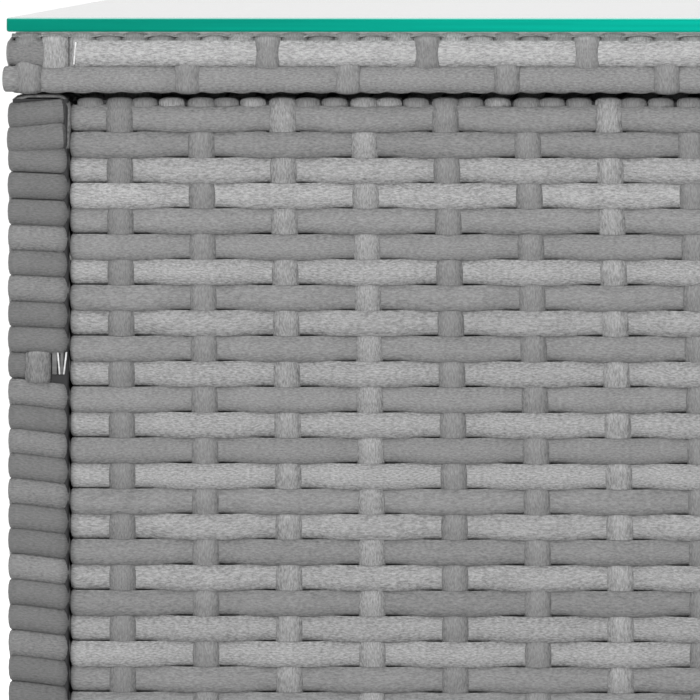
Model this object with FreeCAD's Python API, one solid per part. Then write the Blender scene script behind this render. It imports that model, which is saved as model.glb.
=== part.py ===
"""Square wicker coffee table with a loose tempered-glass plate, in millimetres.

The table is flat-packed: two side frames, a front and a rear frame and a top frame, each a welded square-tube
frame with its own wicker, bolted together, and a glass plate that rests on clear pads on the top frame.
+Z is up, the front faces -Y, and the origin is on the floor under the table's centre.
"""

import FreeCAD, Part
import os

from FreeCAD import Matrix, Vector

os.makedirs("parts", exist_ok=True)

# ---- driving dimensions -------------------------------------------------------------------------------------
PLATE_SIDE = 600.0
TABLE_HEIGHT = 360.0
PLATE_THICKNESS = 5.0
PLATE_CORNER_RADIUS = 4.0
PLATE_ARRIS = 0.7

PAD_THICKNESS = 0.6
PAD_RADIUS = 6.0

STRAND_THICKNESS = 1.1
STRAND_WIDTH = 9.2
WEAVE_THICKNESS = 2.1  # two strands where they cross, pressed together

TOP_TUBE = 18.0  # square tube of the top, front and rear frames
POST_TUBE = 20.0  # square tube of the side frames, whose uprights are the legs
TUBE_WALL = 1.0
TUBE_CORNER = 1.6
FRAME_OUTER = 298.0  # outer face of the top and side frames' tubes, from the centre plane
FRONT_FRAME_OUTER = 296.5  # outer face of the front and rear frames' tubes

RIM_TOP_LAYER = 2.3  # wicker over, outside, inside and under the top frame's tubes
RIM_OUTER_LAYER = WEAVE_THICKNESS
RIM_GAP = 0.7  # between the top frame's wicker and the side frames' wicker
FRONT_TO_POST_GAP = 0.7  # between the front frame's wicker and the posts' wicker

FOOT_HEIGHT = 6.0
FOOT_SIDE = 21.0
PLUG_CLEARANCE = 0.1
PANEL_BOTTOM = 28.7  # lowest wicker of the four side panels

CROSSBAR_OFFSET = 93.0  # centre of each support bar from the table's centre

BOLT_RADIUS = 3.0  # M6
BOLT_HOLE_RADIUS = 3.3
BOLT_HEAD_RADIUS = 5.25
BOLT_HEAD_HEIGHT = 3.3
HEX_KEY = 4.0
FRAME_BOLT_LENGTH = 35.0
TOP_BOLT_LENGTH = 40.0
WASHER_RADIUS = 6.0
WASHER_THICKNESS = 1.2
NUT_BORE_RADIUS = 3.05
NUT_BODY_RADIUS = 4.5
NUT_BODY_LENGTH = 12.0
NUT_FLANGE_RADIUS = 5.75
NUT_FLANGE_THICKNESS = 0.8
FLANGE_HOLE_RADIUS = 6.2
FRAME_BOLT_LEVELS = (85.0, 275.0)
TOP_BOLT_OFFSET = 180.0
SPACER_RADIUS = 8.0

# ---- levels and planes worked out from them -----------------------------------------------------------------
PLATE_BOTTOM = TABLE_HEIGHT - PLATE_THICKNESS
RIM_TOP = PLATE_BOTTOM - PAD_THICKNESS
TOP_TUBE_TOP = RIM_TOP - RIM_TOP_LAYER
TOP_TUBE_BOTTOM = TOP_TUBE_TOP - TOP_TUBE
RIM_BOTTOM = TOP_TUBE_BOTTOM - STRAND_THICKNESS
RIM_OUTER = FRAME_OUTER + RIM_OUTER_LAYER
RIM_TUBE_INNER = FRAME_OUTER - TOP_TUBE
RIM_INNER = RIM_TUBE_INNER - STRAND_THICKNESS

SIDE_TOP = RIM_BOTTOM - RIM_GAP
POST_TOP = SIDE_TOP - STRAND_THICKNESS
POST_INNER = FRAME_OUTER - POST_TUBE
POST_WICKER_INNER = POST_INNER - STRAND_THICKNESS
POST_WICKER_BOTTOM = FOOT_HEIGHT + 0.2

FRONT_HALF = POST_WICKER_INNER - FRONT_TO_POST_GAP  # half width of the front frame's wicker
FRONT_TUBE_HALF = FRONT_HALF - STRAND_THICKNESS
FRONT_TOP = SIDE_TOP - 0.5
FRONT_TUBE_TOP = FRONT_TOP - STRAND_THICKNESS
RAIL_BOTTOM = PANEL_BOTTOM + STRAND_THICKNESS


# ---- helpers ------------------------------------------------------------------------------------------------
def box(low, high):
    """A block between two corners."""
    size = [b - a for a, b in zip(low, high)]
    return Part.makeBox(*size, Vector(*low))


def long_edges(block):
    """The four edges of a block along its longest side."""
    longest = max(edge.Length for edge in block.Edges)
    return [edge for edge in block.Edges if abs(edge.Length - longest) < 1e-6]


def tube(low, high):
    """A square tube with rounded corners between two corners, open at both ends."""
    size = [b - a for a, b in zip(low, high)]
    run = size.index(max(size))
    inside_low = [c if axis == run else c + TUBE_WALL for axis, c in enumerate(low)]
    inside_high = [c if axis == run else c - TUBE_WALL for axis, c in enumerate(high)]
    outside = box(low, high)
    inside = box(inside_low, inside_high)
    outside = outside.makeFillet(TUBE_CORNER, long_edges(outside))
    inside = inside.makeFillet(TUBE_CORNER - TUBE_WALL, long_edges(inside))
    return outside.cut(inside)


def cylinder(start, direction, radius, length):
    return Part.makeCylinder(radius, length, Vector(*start), Vector(*direction))


def cut_all(shape, cutters):
    for cutter in cutters:
        shape = shape.cut(cutter)
    return shape


def mirrored(shape, x=False, y=False):
    """A copy mirrored in the X = 0 plane, the Y = 0 plane or both."""
    for wanted, normal in ((x, Vector(1, 0, 0)), (y, Vector(0, 1, 0))):
        if wanted:
            shape = shape.mirror(Vector(0, 0, 0), normal)
    return shape


def save(name, *solids):
    """Writes one STEP file that holds the node's closed solids."""
    closed = [solid for shape in solids for solid in shape.Solids]
    shape = closed[0] if len(closed) == 1 else Part.makeCompound(closed)
    assert shape.isValid() and all(solid.Volume > 0 for solid in closed), name
    shape.exportStep(f"parts/{name}.step")


# ---- bolts, washers and rivet nuts, all built along +Z from the seat of the bolt's head ----------------------
def bolt(length):
    """Button-head bolt: the head hangs below z = 0 and the shank rises from it."""
    head = Part.makeCylinder(BOLT_HEAD_RADIUS, BOLT_HEAD_HEIGHT, Vector(0, 0, -BOLT_HEAD_HEIGHT))
    rim = [edge for edge in head.Edges if abs(edge.BoundBox.ZMax + BOLT_HEAD_HEIGHT) < 1e-6]
    head = head.makeFillet(BOLT_HEAD_HEIGHT * 0.6, rim)
    corners = [Vector(0, HEX_KEY / 3**0.5, 0)]
    for _ in range(6):
        turn = Matrix()
        turn.rotateZ(3.141592653589793 / 3)
        corners.append(turn.multVec(corners[-1]))
    socket = Part.Face(Part.makePolygon(corners)).extrude(Vector(0, 0, BOLT_HEAD_HEIGHT * 0.6))
    socket.translate(Vector(0, 0, -BOLT_HEAD_HEIGHT))
    shank = Part.makeCylinder(BOLT_RADIUS, length)
    point = [edge for edge in shank.Edges if abs(edge.BoundBox.ZMin - length) < 1e-6]
    return head.cut(socket).fuse(shank.makeChamfer(0.6, point))


def washer(radius, thickness):
    disc = Part.makeCylinder(radius, thickness)
    return disc.cut(Part.makeCylinder(BOLT_HOLE_RADIUS, thickness))


def rivet_nut():
    """Rivet nut whose flange seats at z = 0 and whose body rises through the tube's wall."""
    body = Part.makeCylinder(NUT_BODY_RADIUS, NUT_BODY_LENGTH)
    flange = Part.makeCylinder(NUT_FLANGE_RADIUS, NUT_FLANGE_THICKNESS, Vector(0, 0, -NUT_FLANGE_THICKNESS))
    whole_length = NUT_BODY_LENGTH + NUT_FLANGE_THICKNESS
    bore = Part.makeCylinder(NUT_BORE_RADIUS, whole_length, Vector(0, 0, -NUT_FLANGE_THICKNESS))
    return body.fuse(flange).cut(bore)


def laid_along(shape, start, direction):
    """A copy whose +Z points along direction, with its origin at start."""
    turn = FreeCAD.Rotation(Vector(0, 0, 1), Vector(*direction))
    placed = shape.copy()
    placed.Placement = FreeCAD.Placement(Vector(*start), turn)
    return placed


# ---- glass plate and its pads -------------------------------------------------------------------------------
half_plate = PLATE_SIDE / 2
plate = box((-half_plate, -half_plate, PLATE_BOTTOM), (half_plate, half_plate, TABLE_HEIGHT))
upright = [edge for edge in plate.Edges if abs(edge.Length - PLATE_THICKNESS) < 1e-6]
plate = plate.makeFillet(PLATE_CORNER_RADIUS, upright)
level = [edge for edge in plate.Edges if edge.BoundBox.ZLength < 1e-6]
save("glass_top", plate.makeChamfer(PLATE_ARRIS, level))

pad_line = (FRAME_OUTER + RIM_TUBE_INNER) / 2
pads = []
for x in (-pad_line, 0, pad_line):
    for y in (-pad_line, 0, pad_line):
        if (x, y) != (0, 0):
            pads.append(cylinder((x, y, RIM_TOP), (0, 0, 1), PAD_RADIUS, PAD_THICKNESS))
save("glass_pads", *pads)

# ---- bolt stations --------------------------------------------------------------------------------------------
# A frame bolt runs outwards in X through a front or rear frame's upright into the post beside it.
upright_inner = FRONT_TUBE_HALF - TOP_TUBE
frame_bolt_line = FRONT_FRAME_OUTER - TOP_TUBE / 2
frame_seat = upright_inner - STRAND_THICKNESS
top_bolt_line = (FRAME_OUTER - POST_TUBE / 2 + FRAME_OUTER - TOP_TUBE / 2) / 2
top_seat = POST_TOP - POST_TUBE - STRAND_THICKNESS

frame_stations = []
for side in (-1, 1):
    for end in (-1, 1):
        for height in FRAME_BOLT_LEVELS:
            frame_stations.append((side, end * frame_bolt_line, height))
top_stations = [(x * top_bolt_line, y * TOP_BOLT_OFFSET) for x in (-1, 1) for y in (-1, 1)]


def frame_drill(radius, inner, outer):
    """Drills between two X planes at every frame bolt, on both sides of the table."""
    return [
        cylinder((side * inner, y, z), (side, 0, 0), radius, outer - inner) for side, y, z in frame_stations
    ]


def top_drill(radius, low, high):
    return [cylinder((x, y, low), (0, 0, 1), radius, high - low) for x, y in top_stations]


clear_frame_holes = frame_drill(BOLT_HOLE_RADIUS, frame_seat - 1, FRONT_HALF + 0.1)
flange_frame_holes = frame_drill(FLANGE_HOLE_RADIUS, FRONT_HALF + 0.2, POST_INNER)
nut_frame_holes = frame_drill(NUT_BODY_RADIUS, POST_INNER - 0.5, POST_INNER + TUBE_WALL + 0.5)
clear_top_holes = top_drill(BOLT_HOLE_RADIUS, top_seat - 1, SIDE_TOP + 0.1)
flange_top_holes = top_drill(FLANGE_HOLE_RADIUS, RIM_BOTTOM - 0.1, TOP_TUBE_BOTTOM)
nut_top_holes = top_drill(NUT_BODY_RADIUS, TOP_TUBE_BOTTOM - 0.5, TOP_TUBE_BOTTOM + TUBE_WALL + 0.5)

# ---- top frame: four tubes and two support bars -----------------------------------------------------------------
front_tube = tube(
    (-FRAME_OUTER, -FRAME_OUTER, TOP_TUBE_BOTTOM), (FRAME_OUTER, -RIM_TUBE_INNER, TOP_TUBE_TOP)
)
left_tube = tube(
    (-FRAME_OUTER, -RIM_TUBE_INNER, TOP_TUBE_BOTTOM), (-RIM_TUBE_INNER, RIM_TUBE_INNER, TOP_TUBE_TOP)
)
left_tube = cut_all(left_tube, nut_top_holes)
save("top_tube_front", front_tube)
save("top_tube_rear", mirrored(front_tube, y=True))
save("top_tube_left", left_tube)
save("top_tube_right", mirrored(left_tube, x=True))

crossbar = tube(
    (-RIM_TUBE_INNER, -CROSSBAR_OFFSET - TOP_TUBE / 2, TOP_TUBE_BOTTOM),
    (RIM_TUBE_INNER, -CROSSBAR_OFFSET + TOP_TUBE / 2, TOP_TUBE_TOP),
)
save("top_crossbar_front", crossbar)
save("top_crossbar_rear", mirrored(crossbar, y=True))

# ---- wicker of the top: a flat field inside the tubes and a sleeve round each tube, mitred at the corners ------
field = box((-RIM_INNER, -RIM_INNER, TOP_TUBE_TOP), (RIM_INNER, RIM_INNER, TOP_TUBE_TOP + WEAVE_THICKNESS))
save("top_field_weave", field)

ring = box((-RIM_OUTER, -RIM_OUTER, RIM_BOTTOM), (RIM_OUTER, RIM_OUTER, RIM_TOP))
ring = ring.cut(box((-RIM_INNER, -RIM_INNER, RIM_BOTTOM), (RIM_INNER, RIM_INNER, RIM_TOP)))
hollow = box((-FRAME_OUTER, -FRAME_OUTER, TOP_TUBE_BOTTOM), (FRAME_OUTER, FRAME_OUTER, TOP_TUBE_TOP))
hollow = hollow.cut(
    box((-RIM_TUBE_INNER, -RIM_TUBE_INNER, TOP_TUBE_BOTTOM), (RIM_TUBE_INNER, RIM_TUBE_INNER, TOP_TUBE_TOP))
)
bar_ends = [
    box(
        (-RIM_TUBE_INNER, y - TOP_TUBE / 2, TOP_TUBE_BOTTOM),
        (RIM_TUBE_INNER, y + TOP_TUBE / 2, TOP_TUBE_TOP),
    )
    for y in (-CROSSBAR_OFFSET, CROSSBAR_OFFSET)
]
ring = cut_all(ring, [hollow, *bar_ends, *flange_top_holes])


def mitre_wedge(corner_a, corner_b):
    """A wedge from the table's centre that holds the side of the ring between two corners."""
    reach = 2 * RIM_OUTER
    centre = Vector(0, 0, 0)
    far_a, far_b = [Vector(x * reach, y * reach, 0) for x, y in (corner_a, corner_b)]
    outline = Part.makePolygon([centre, far_a, far_b, centre])
    return Part.Face(outline).extrude(Vector(0, 0, TABLE_HEIGHT))


RIM_SIDES = {
    "front": ((-1, -1), (1, -1)),
    "right": ((1, -1), (1, 1)),
    "rear": ((1, 1), (-1, 1)),
    "left": ((-1, 1), (-1, -1)),
}
for name, (corner_a, corner_b) in RIM_SIDES.items():
    save(f"rim_wicker_{name}", ring.common(mitre_wedge(corner_a, corner_b)))

# ---- side frames: two posts, which are the legs, and two rails --------------------------------------------------
post_low = (-FRAME_OUTER, -FRAME_OUTER, FOOT_HEIGHT)
post_high = (-POST_INNER, -POST_INNER, POST_TOP)
post = cut_all(tube(post_low, post_high), nut_frame_holes)
side_top_rail_low = (-FRAME_OUTER, -POST_INNER, POST_TOP - POST_TUBE)
side_top_rail_high = (-POST_INNER, POST_INNER, POST_TOP)
side_top_rail = cut_all(tube(side_top_rail_low, side_top_rail_high), clear_top_holes)
side_bottom_rail_low = (-FRAME_OUTER, -POST_INNER, RAIL_BOTTOM)
side_bottom_rail_high = (-POST_INNER, POST_INNER, RAIL_BOTTOM + POST_TUBE)
side_bottom_rail = tube(side_bottom_rail_low, side_bottom_rail_high)

for side, flip_x in (("left", False), ("right", True)):
    for end, flip_y in (("front", False), ("rear", True)):
        save(f"{side}_{end}_post", mirrored(post, x=flip_x, y=flip_y))
    save(f"{side}_top_rail", mirrored(side_top_rail, x=flip_x))
    save(f"{side}_bottom_rail", mirrored(side_bottom_rail, x=flip_x))

# ---- side wicker: the woven panel, the rail wraps, the post wraps and the strand over each post's top ----------
side_panel = box(
    (-RIM_OUTER, -POST_WICKER_INNER, PANEL_BOTTOM), (-FRAME_OUTER, POST_WICKER_INNER, SIDE_TOP)
)


def side_rail_wrap(low, high):
    """Strands wound round a side rail, on its top, inner and lower faces."""
    around = box(
        (-FRAME_OUTER, -POST_WICKER_INNER, low[2] - STRAND_THICKNESS),
        (-POST_WICKER_INNER, POST_WICKER_INNER, high[2] + STRAND_THICKNESS),
    )
    return around.cut(box(low, high))


top_wrap = cut_all(side_rail_wrap(side_top_rail_low, side_top_rail_high), clear_top_holes)
bottom_wrap = side_rail_wrap(side_bottom_rail_low, side_bottom_rail_high)

cap_middle = -FRAME_OUTER + POST_TUBE / 2
cap_strand = box(
    (-FRAME_OUTER - STRAND_THICKNESS, cap_middle - STRAND_WIDTH / 2, POST_TOP - 17.0),
    (-POST_WICKER_INNER, cap_middle + STRAND_WIDTH / 2, SIDE_TOP),
)
cap_strand = cap_strand.cut(box(post_low, post_high))
post_wrap = box(
    (-FRAME_OUTER - STRAND_THICKNESS, -FRAME_OUTER - STRAND_THICKNESS, POST_WICKER_BOTTOM),
    (-POST_WICKER_INNER, -POST_WICKER_INNER, POST_TOP),
)
rail_ends = [box(side_top_rail_low, side_top_rail_high), box(side_bottom_rail_low, side_bottom_rail_high)]
post_wrap = cut_all(post_wrap, [box(post_low, post_high), cap_strand, *rail_ends, *flange_frame_holes])

for side, flip_x in (("left", False), ("right", True)):
    save(f"{side}_panel_weave", mirrored(side_panel, x=flip_x))
    save(f"{side}_rail_wraps", mirrored(top_wrap, x=flip_x), mirrored(bottom_wrap, x=flip_x))
    for end, flip_y in (("front", False), ("rear", True)):
        save(f"{side}_{end}_post_wrap", mirrored(post_wrap, x=flip_x, y=flip_y))

corners = [(x, y) for x in (False, True) for y in (False, True)]
save("post_cap_strands", *[mirrored(cap_strand, x=x, y=y) for x, y in corners])

# ---- plastic plugs in the posts' tops and feet in their lower ends ------------------------------------------------
bore_low = [c + TUBE_WALL + PLUG_CLEARANCE for c in post_low[:2]]
bore_high = [c - TUBE_WALL - PLUG_CLEARANCE for c in post_high[:2]]
plug = box((*bore_low, POST_TOP - 10.0), (*bore_high, POST_TOP))
plug = plug.makeFillet(1.0, [edge for edge in plug.Edges if edge.BoundBox.ZLength > 1])
save("post_plugs", *[mirrored(plug, x=x, y=y) for x, y in corners])

foot_margin = (FOOT_SIDE - POST_TUBE) / 2
foot = box(
    (post_low[0] - foot_margin, post_low[1] - foot_margin, 0),
    (post_high[0] + foot_margin, post_high[1] + foot_margin, FOOT_HEIGHT),
)
foot = foot.makeFillet(3.0, [edge for edge in foot.Edges if edge.BoundBox.ZLength > 1])
foot = foot.makeFillet(1.2, [edge for edge in foot.Edges if edge.BoundBox.ZMax < 1e-6])
stub = box((*bore_low, FOOT_HEIGHT), (*bore_high, FOOT_HEIGHT + 12.0))
stub = stub.makeFillet(1.0, [edge for edge in stub.Edges if edge.BoundBox.ZLength > 1])
foot = foot.fuse(stub)
for side, flip_x in (("left", False), ("right", True)):
    for end, flip_y in (("front", False), ("rear", True)):
        save(f"foot_{end}_{side}", mirrored(foot, x=flip_x, y=flip_y))

# ---- front and rear frames: two uprights and two rails ------------------------------------------------------------
front_inner = FRONT_FRAME_OUTER - TOP_TUBE
upright_low = (-FRONT_TUBE_HALF, -FRONT_FRAME_OUTER, RAIL_BOTTOM)
upright_high = (-upright_inner, -front_inner, FRONT_TUBE_TOP)
upright_tube = cut_all(tube(upright_low, upright_high), clear_frame_holes)
rail_spans = {
    "top": (FRONT_TUBE_TOP - TOP_TUBE, FRONT_TUBE_TOP),
    "bottom": (RAIL_BOTTOM, RAIL_BOTTOM + TOP_TUBE),
}
rail_boxes = {
    name: ((-upright_inner, -FRONT_FRAME_OUTER, low), (upright_inner, -front_inner, high))
    for name, (low, high) in rail_spans.items()
}

for end, flip_y in (("front", False), ("rear", True)):
    for side, flip_x in (("left", False), ("right", True)):
        save(f"{end}_{side}_upright", mirrored(upright_tube, x=flip_x, y=flip_y))
    for name, (low, high) in rail_boxes.items():
        save(f"{end}_{name}_rail", mirrored(tube(low, high), y=flip_y))

# ---- front and rear wicker: the woven panel, the rail wraps and the upright wraps ----------------------------------
front_panel = box(
    (-FRONT_HALF, -FRONT_FRAME_OUTER - WEAVE_THICKNESS, PANEL_BOTTOM),
    (FRONT_HALF, -FRONT_FRAME_OUTER, FRONT_TOP),
)
rail_blocks = [box(low, high) for low, high in rail_boxes.values()]

upright_wrap = box(
    (-FRONT_HALF, -FRONT_FRAME_OUTER, PANEL_BOTTOM),
    (-upright_inner + STRAND_THICKNESS, -front_inner + STRAND_THICKNESS, FRONT_TOP),
)
upright_wrap = cut_all(upright_wrap, [box(upright_low, upright_high), *rail_blocks, *clear_frame_holes])

rail_wraps = []
for low, high in rail_boxes.values():
    around = box(
        (low[0] + STRAND_THICKNESS, low[1], low[2] - STRAND_THICKNESS),
        (high[0] - STRAND_THICKNESS, high[1] + STRAND_THICKNESS, high[2] + STRAND_THICKNESS),
    )
    rail_wraps.append(around.cut(box(low, high)))

for end, flip_y in (("front", False), ("rear", True)):
    save(f"{end}_panel_weave", mirrored(front_panel, y=flip_y))
    save(f"{end}_rail_wraps", *[mirrored(wrap, y=flip_y) for wrap in rail_wraps])
    save(f"{end}_upright_wraps", *[mirrored(upright_wrap, x=x, y=flip_y) for x in (False, True)])

# ---- fasteners: one node for each kind ----------------------------------------------------------------------------
frame_washer = washer(WASHER_RADIUS, WASHER_THICKNESS)
head_plane = frame_seat - WASHER_THICKNESS
frame_bolts, frame_washers, frame_nuts = [], [], []
for side, y, z in frame_stations:
    outwards = (side, 0, 0)
    frame_bolts.append(laid_along(bolt(FRAME_BOLT_LENGTH), (side * head_plane, y, z), outwards))
    frame_washers.append(laid_along(frame_washer, (side * head_plane, y, z), outwards))
    frame_nuts.append(laid_along(rivet_nut(), (side * POST_INNER, y, z), outwards))
save("frame_bolts", *frame_bolts)
save("frame_bolt_washers", *frame_washers)
save("frame_rivet_nuts", *frame_nuts)

top_head_plane = top_seat - WASHER_THICKNESS
top_bolts, top_washers, top_nuts, spacers = [], [], [], []
for x, y in top_stations:
    up = (0, 0, 1)
    top_bolts.append(laid_along(bolt(TOP_BOLT_LENGTH), (x, y, top_head_plane), up))
    top_washers.append(laid_along(frame_washer, (x, y, top_head_plane), up))
    top_nuts.append(laid_along(rivet_nut(), (x, y, TOP_TUBE_BOTTOM), up))
    spacers.append(laid_along(washer(SPACER_RADIUS, RIM_GAP), (x, y, SIDE_TOP), up))
save("top_bolts", *top_bolts)
save("top_bolt_washers", *top_washers)
save("top_rivet_nuts", *top_nuts)
save("top_spacers", *spacers)
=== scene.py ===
import math
import random

import bpy
import numpy as np
from mathutils import Matrix, Vector


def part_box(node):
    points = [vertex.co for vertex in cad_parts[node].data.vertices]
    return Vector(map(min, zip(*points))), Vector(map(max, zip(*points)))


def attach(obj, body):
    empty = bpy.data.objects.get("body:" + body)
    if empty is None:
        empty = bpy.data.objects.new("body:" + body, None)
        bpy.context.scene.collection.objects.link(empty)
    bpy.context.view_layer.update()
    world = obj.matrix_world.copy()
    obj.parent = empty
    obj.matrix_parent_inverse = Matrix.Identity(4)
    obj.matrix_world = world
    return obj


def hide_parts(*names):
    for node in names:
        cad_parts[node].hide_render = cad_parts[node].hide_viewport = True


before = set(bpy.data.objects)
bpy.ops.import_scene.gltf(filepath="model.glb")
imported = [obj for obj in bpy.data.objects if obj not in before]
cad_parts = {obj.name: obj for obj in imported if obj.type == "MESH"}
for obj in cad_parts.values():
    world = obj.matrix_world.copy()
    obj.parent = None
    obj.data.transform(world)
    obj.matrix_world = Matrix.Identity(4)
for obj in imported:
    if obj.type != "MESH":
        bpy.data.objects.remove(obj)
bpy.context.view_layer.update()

# ---- welded tube frames ------------------------------------------------------------------------------
# Square steel tube, mitred or butted and welded into flat frames, then powder coated satin black. The tubes
# are the CAD model's own; only their finish is made here: a fine orange-peel skin with a little dust on it.

MM = 0.001
SKIN_DEPTH = 0.15 * MM  # of the fine grain on coats, mouldings and plating


def node_material(name, roughness, metallic=0.0):
    """A new material with its Principled shader, ready for the nodes that drive it."""
    material = bpy.data.materials.new(name)
    material.use_nodes = True
    shader = material.node_tree.nodes["Principled BSDF"]
    shader.inputs["Roughness"].default_value = roughness
    shader.inputs["Metallic"].default_value = metallic
    return material, material.node_tree, shader


def add_node(tree, kind, **settings):
    """Adds a shader node. A setting named like one of its inputs sets that input, any other the node."""
    node = tree.nodes.new(kind)
    for key, value in settings.items():
        label = key.replace("_", " ").title()
        if label in node.inputs:
            node.inputs[label].default_value = value
        else:
            setattr(node, key, value)
    return node


def colour_between(tree, mask, low, high, at=(0.3, 0.7)):
    """A two-colour ramp driven by a mask."""
    ramp = add_node(tree, "ShaderNodeValToRGB")
    for element, position, colour in zip(ramp.color_ramp.elements, at, (low, high)):
        element.position = position
        element.color = (*colour, 1.0)
    tree.links.new(mask, ramp.inputs["Fac"])
    return ramp.outputs["Color"]


def range_of(tree, value, low, high):
    """Spreads a 0 to 1 value between two numbers."""
    spread = add_node(tree, "ShaderNodeMapRange", to_min=low, to_max=high)
    tree.links.new(value, spread.inputs["Value"])
    return spread.outputs["Result"]


def small_bump(tree, height, strength, distance):
    bump = add_node(tree, "ShaderNodeBump", strength=strength, distance=distance)
    tree.links.new(height, bump.inputs["Height"])
    return bump.outputs["Normal"]


def mottled_finish(name, dark, light, roughness, patch, grain, bump, metallic=0.0):
    """A smooth finish with faint patches and a fine skin: coats, mouldings and plated steel."""
    material, tree, shader = node_material(name, roughness[0], metallic)
    place = add_node(tree, "ShaderNodeTexCoord").outputs["Object"]
    patches = add_node(tree, "ShaderNodeTexNoise", scale=patch, detail=3.0)
    skin = add_node(tree, "ShaderNodeTexNoise", scale=grain, detail=2.0)
    for noise in (patches, skin):
        tree.links.new(place, noise.inputs["Vector"])
    colour = colour_between(tree, patches.outputs["Fac"], dark, light)
    tree.links.new(colour, shader.inputs["Base Color"])
    tree.links.new(range_of(tree, patches.outputs["Fac"], *roughness), shader.inputs["Roughness"])
    tree.links.new(small_bump(tree, skin.outputs["Fac"], bump, SKIN_DEPTH), shader.inputs["Normal"])
    return material


def give_finish(material, nodes):
    """Puts a finish on CAD nodes that keep their own shape."""
    for name in nodes:
        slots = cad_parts[name].material_slots
        for slot in slots:
            slot.material = material
        if not slots:
            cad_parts[name].data.materials.append(material)


powder_coat = mottled_finish(
    "black_powder_coat",
    dark=(0.012, 0.012, 0.013),
    light=(0.024, 0.024, 0.025),
    roughness=(0.38, 0.55),
    patch=18.0,
    grain=2600.0,
    bump=0.35,
)
SIDES = ("left", "right")
ENDS = ("front", "rear")
tube_nodes = [f"top_tube_{side}" for side in (*ENDS, *SIDES)] + [f"top_crossbar_{end}" for end in ENDS]
for side in SIDES:
    tube_nodes += [f"{side}_{end}_post" for end in ENDS] + [f"{side}_top_rail", f"{side}_bottom_rail"]
for end in ENDS:
    tube_nodes += [f"{end}_{side}_upright" for side in SIDES] + [f"{end}_top_rail", f"{end}_bottom_rail"]
give_finish(powder_coat, tube_nodes)

# ---- bolts, washers and rivet nuts -------------------------------------------------------------------
# Zinc-plated M6 button-head bolts with plain washers and flanged rivet nuts, which hold the flat-packed
# frames together. They are the CAD model's own, with the slightly cloudy plating of new hardware.

zinc_plate = mottled_finish(
    "zinc_plate",
    dark=(0.42, 0.42, 0.41),
    light=(0.62, 0.62, 0.6),
    roughness=(0.24, 0.42),
    patch=240.0,
    grain=3000.0,
    bump=0.2,
    metallic=1.0,
)
give_finish(zinc_plate, ["frame_bolts", "frame_bolt_washers", "frame_rivet_nuts"])
give_finish(zinc_plate, ["top_bolts", "top_bolt_washers", "top_rivet_nuts"])

# ---- feet, plugs and spacers -------------------------------------------------------------------------
# Injection-moulded black polyethylene: a foot pressed into each leg, a plug in each leg's upper end and a
# thin spacer round each of the top frame's bolts. Fine-grained matt skin, a little greyer in patches.

black_plastic = mottled_finish(
    "moulded_black_plastic",
    dark=(0.015, 0.015, 0.015),
    light=(0.035, 0.035, 0.035),
    roughness=(0.5, 0.68),
    patch=60.0,
    grain=3500.0,
    bump=0.5,
)
LEGS = [(side, end) for side in SIDES for end in ENDS]
feet = [f"foot_{end}_{side}" for side, end in LEGS]
give_finish(black_plastic, [*feet, "post_plugs", "top_spacers"])

# ---- legs: strand wound round each post --------------------------------------------------------------
# Flat extruded grey strand, 9 mm wide and over 1 mm thick, wound tightly round each square post from the
# top down, every turn touching the last. Most of each turn's drop is taken on the two inner faces.

STRAND_WIDTH = 9.12 * MM
STRAND_CROWN = 1.2 * MM  # from the strand's edges to the top of its rounder side
STRAND_BACK = 0.45 * MM  # and to its flatter side
LAYER = 0.6 * MM  # from a tube's face to the middle of the strand on it, and half of what one layer adds
SHOULDER = 0.58  # how square the strand's section is
SECTION_STEPS = 3  # points for each quarter of the section


def deselect_all():
    bpy.ops.object.select_all(action="DESELECT")


deselect_all()
bpy.ops.curve.primitive_bezier_circle_add(radius=1.0)
strand_section = bpy.context.object
strand_section.name = "strand_section"
strand_section.data.dimensions = "2D"
strand_section.data.resolution_u = SECTION_STEPS
half_w = STRAND_WIDTH / 2
section_corners = [
    Vector((STRAND_CROWN, 0, 0)),
    Vector((0, half_w, 0)),
    Vector((-STRAND_BACK, 0, 0)),
    Vector((0, -half_w, 0)),
]
for number, corner in enumerate(strand_section.data.splines[0].bezier_points):
    corner.handle_left_type = corner.handle_right_type = "FREE"
    corner.co = section_corners[number]
    corner.handle_left = corner.co + section_corners[number - 1] * SHOULDER
    corner.handle_right = corner.co + section_corners[(number + 1) % 4] * SHOULDER


def across_section():
    """How far across the strand each point of the section lies, from -1 to 1, starting on one flat side."""
    quarter = []
    for step in range(SECTION_STEPS):
        t = step / SECTION_STEPS
        quarter.append(3 * t * (1 - t) ** 2 * SHOULDER + 3 * t * t * (1 - t) + t ** 3)
    rising = [*quarter, 1.0]
    half = rising + rising[-2:0:-1]
    return np.array(half + [-place for place in half])


SECTION_ACROSS = across_section()

# How a strand's width lies: along Z, X or Y. Paths are drawn with the width upright and then turned.
LIES = {
    "upright": Matrix.Identity(3),
    "across": Matrix.Rotation(math.radians(90), 3, "Y"),
    "deep": Matrix.Rotation(math.radians(-90), 3, "X"),
}
QUARTER_TURNS = {"front": 0, "right": 1, "rear": 2, "left": 3}


class Strand:
    """One length of strand: the path of its middle, and its tone and fibre there or all along."""

    def __init__(self, path, tone, fibre, size=1.0):
        self.path = np.asarray(path, dtype=float)
        self.tone = np.broadcast_to(tone, len(self.path))
        self.fibre = np.broadcast_to(fibre, len(self.path))
        self.size = size
        self.seed = chance.uniform(0.0, 50.0)

    def reverse(self):
        self.path, self.tone, self.fibre = self.path[::-1], self.tone[::-1], self.fibre[::-1]


NEARLY_STRAIGHT = -4e-5  # square metres; such a strand stays as it is drawn


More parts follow.
